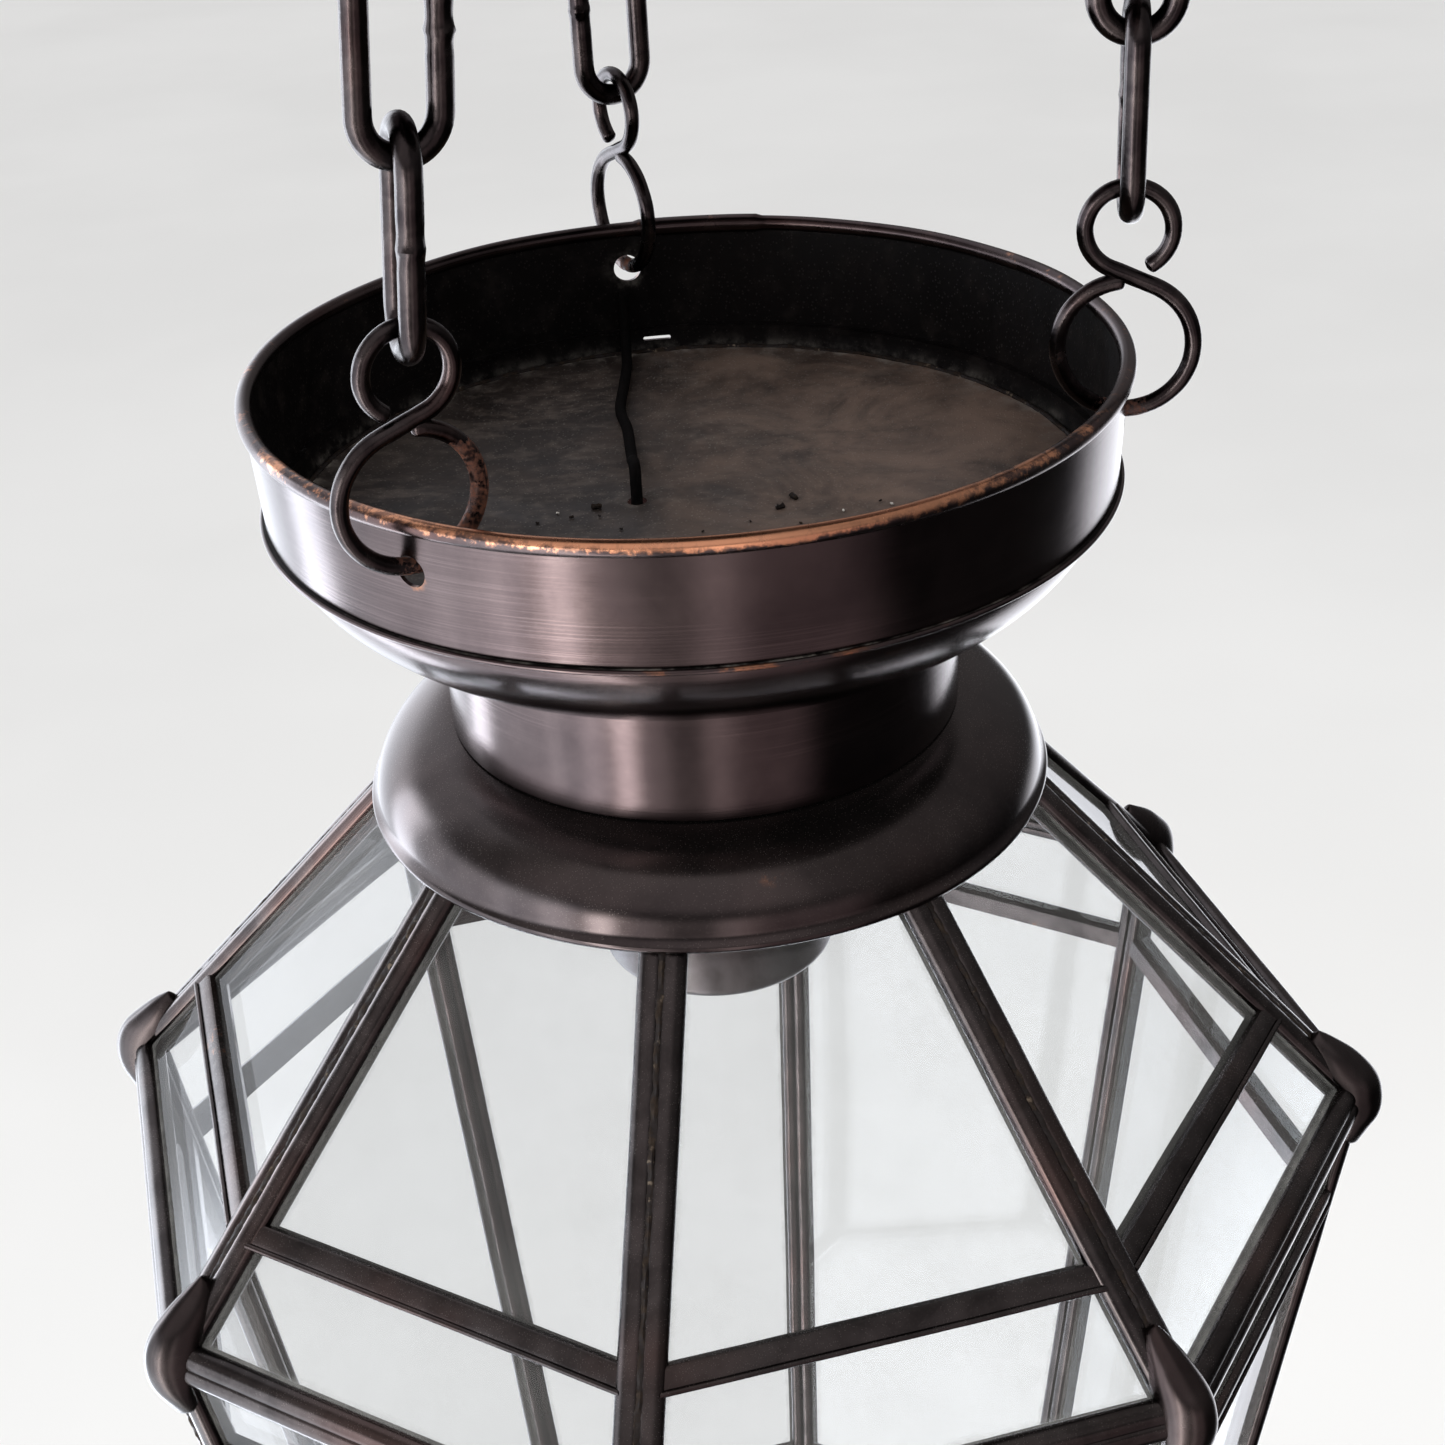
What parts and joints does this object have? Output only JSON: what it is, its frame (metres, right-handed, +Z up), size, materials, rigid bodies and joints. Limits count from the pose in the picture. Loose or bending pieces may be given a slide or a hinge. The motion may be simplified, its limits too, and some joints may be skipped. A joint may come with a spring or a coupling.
{
  "type": "hanging lantern",
  "caption": "Octagonal glass lantern in dark bronze, hung on three short chains from a ceiling plate, with an open round pan above a domed collar.",
  "frame": {"origin": "middle of the ceiling plate's top face, where the lantern is fastened to the ceiling", "axes": "+Z up along the lantern's axis; -Y towards the viewer"},
  "size_m": [0.3234, 0.3234, 0.5788],
  "materials": {
    "dark_bronze": "brushed sheet, oil-rubbed dark bronze with copper worn through on edges",
    "dusty_bronze": "satin dark bronze under fine dust",
    "chain_steel": "dark bronzed steel wire, rusty where it rubs",
    "clear_glass": "clear float glass, dusty along the cames",
    "ceramic": "white porcelain",
    "brass": "plain brass",
    "flex_black": "black flexible cord sheath"
  },
  "bodies": {
    "ceiling": {"ceiling_hook_back": "dark_bronze", "ceiling_hook_left": "dark_bronze", "ceiling_hook_right": "dark_bronze", "ceiling_plate": "dark_bronze"},
    "chain_left": {"chain_link_left_upper": "chain_steel", "chain_link_left_lower": "chain_steel", "s_hook_left": "chain_steel"},
    "chain_back": {"chain_link_back_upper": "chain_steel", "chain_link_back_lower": "chain_steel", "s_hook_back": "chain_steel"},
    "chain_right": {"chain_link_right_upper": "chain_steel", "chain_link_right_lower": "chain_steel", "s_hook_right": "chain_steel"},
    "door": {"door_frame": "dark_bronze", "door_glass": "clear_glass", "door_knob": "dark_bronze"},
    "lantern": {"base_glass": "clear_glass", "collar": "dusty_bronze", "corner_cap_1": "dark_bronze", "corner_cap_2": "dark_bronze", "corner_cap_3": "dark_bronze", "corner_cap_4": "dark_bronze", "corner_cap_5": "dark_bronze", "corner_cap_6": "dark_bronze", "corner_cap_7": "dark_bronze", "corner_cap_8": "dark_bronze", "door_hinge_pin": "dark_bronze", "flex": "flex_black", "lampholder_contact": "brass", "lampholder_crossbar": "dark_bronze", "lampholder_insulator": "ceramic", "lampholder_nut": "brass", "lampholder_screw_shell": "brass", "lampholder_shell": "dark_bronze", "lampholder_tube": "brass", "neck": "dark_bronze", "pan_dish": "dark_bronze", "pan_floor": "dusty_bronze", "pan_rim": "dark_bronze", "pan_wall": "dark_bronze", "roof_frame": "dark_bronze", "roof_glass_1": "clear_glass", "roof_glass_2": "clear_glass", "roof_glass_3": "clear_glass", "roof_glass_4": "clear_glass", "roof_glass_5": "clear_glass", "roof_glass_6": "clear_glass", "roof_glass_7": "clear_glass", "roof_glass_8": "clear_glass", "side_frame": "dark_bronze", "side_glass_1": "clear_glass", "side_glass_2": "clear_glass", "side_glass_3": "clear_glass", "side_glass_4": "clear_glass", "side_glass_5": "clear_glass", "side_glass_6": "clear_glass", "side_glass_7": "clear_glass", "side_glass_8": "clear_glass"}
  },
  "joints": [
    {"name": "chain_left_swing", "type": "hinge", "parent": "ceiling", "child": "chain_left", "pos_m": [-0.04267, -0.07589, -0.02075], "axis": [1, 0, 0], "range_deg": [-8, 8]},
    {"name": "lantern_swing", "type": "hinge", "parent": "chain_left", "child": "lantern", "pos_m": [-0.05314, -0.07589, -0.1375], "axis": [-1, 0, 0], "range_deg": [-8, 8]},
    {"name": "chain_back_swing", "type": "hinge", "parent": "ceiling", "child": "chain_back", "pos_m": [-0.01289, 0.09175, -0.02075], "axis": [1, 0, 0], "range_deg": [-8, 8]},
    {"name": "chain_right_swing", "type": "hinge", "parent": "ceiling", "child": "chain_right", "pos_m": [0.09027, -0.02084, -0.02075], "axis": [1, 0, 0], "range_deg": [-8, 8]},
    {"name": "door_hinge", "type": "hinge", "parent": "lantern", "child": "door", "pos_m": [0.08368, -0.12809, -0.35358], "axis": [0.0884, -0.1226, 0.9885], "range_deg": [0, 105]}
  ],
  "couplings": [
    {"joint": "chain_left_swing", "follows": "lantern_swing", "ratio": 1},
    {"joint": "chain_back_swing", "follows": "lantern_swing", "ratio": 1},
    {"joint": "chain_right_swing", "follows": "lantern_swing", "ratio": 1}
  ]
}
